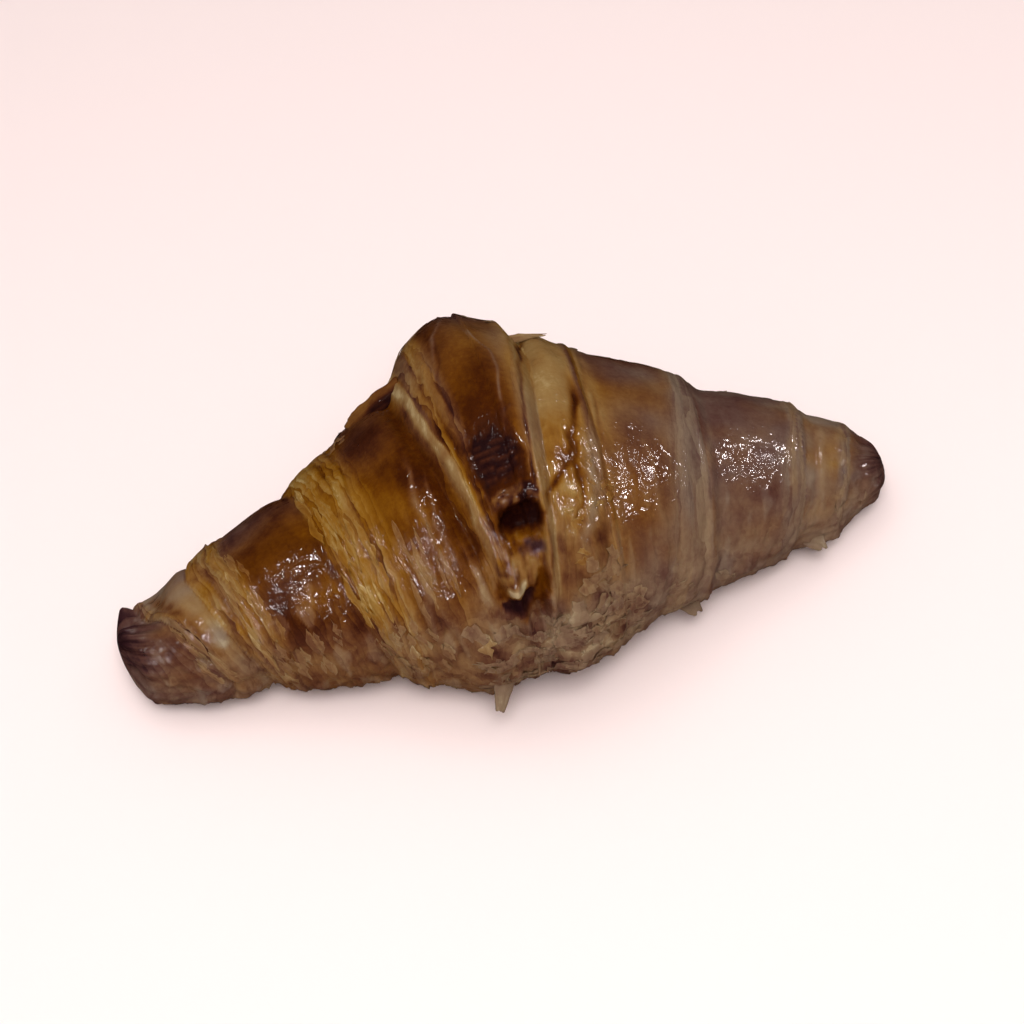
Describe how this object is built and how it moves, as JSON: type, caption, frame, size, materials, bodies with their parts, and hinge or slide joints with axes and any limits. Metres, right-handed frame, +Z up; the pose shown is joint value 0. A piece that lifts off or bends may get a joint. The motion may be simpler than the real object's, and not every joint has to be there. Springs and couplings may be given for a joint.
{
  "type": "croissant",
  "caption": "Straight butter croissant of rolled, layered dough with a glossy browned crust, stepped wraps and a tongue of dough folded over its middle.",
  "frame": {"origin": "middle of the bounding box's underside, on the surface that the croissant rests on", "axes": "+X runs from the left tip to the right tip, -Y is the front that the picture looks down on, +Z is up"},
  "size_m": [0.172, 0.0866, 0.061],
  "materials": {
    "crust": "egg-washed browned crust, glossy amber brown on the crowns and pale tan where the layers are cut"
  },
  "bodies": {
    "root": {"croissant": "crust"}
  },
  "joints": []
}
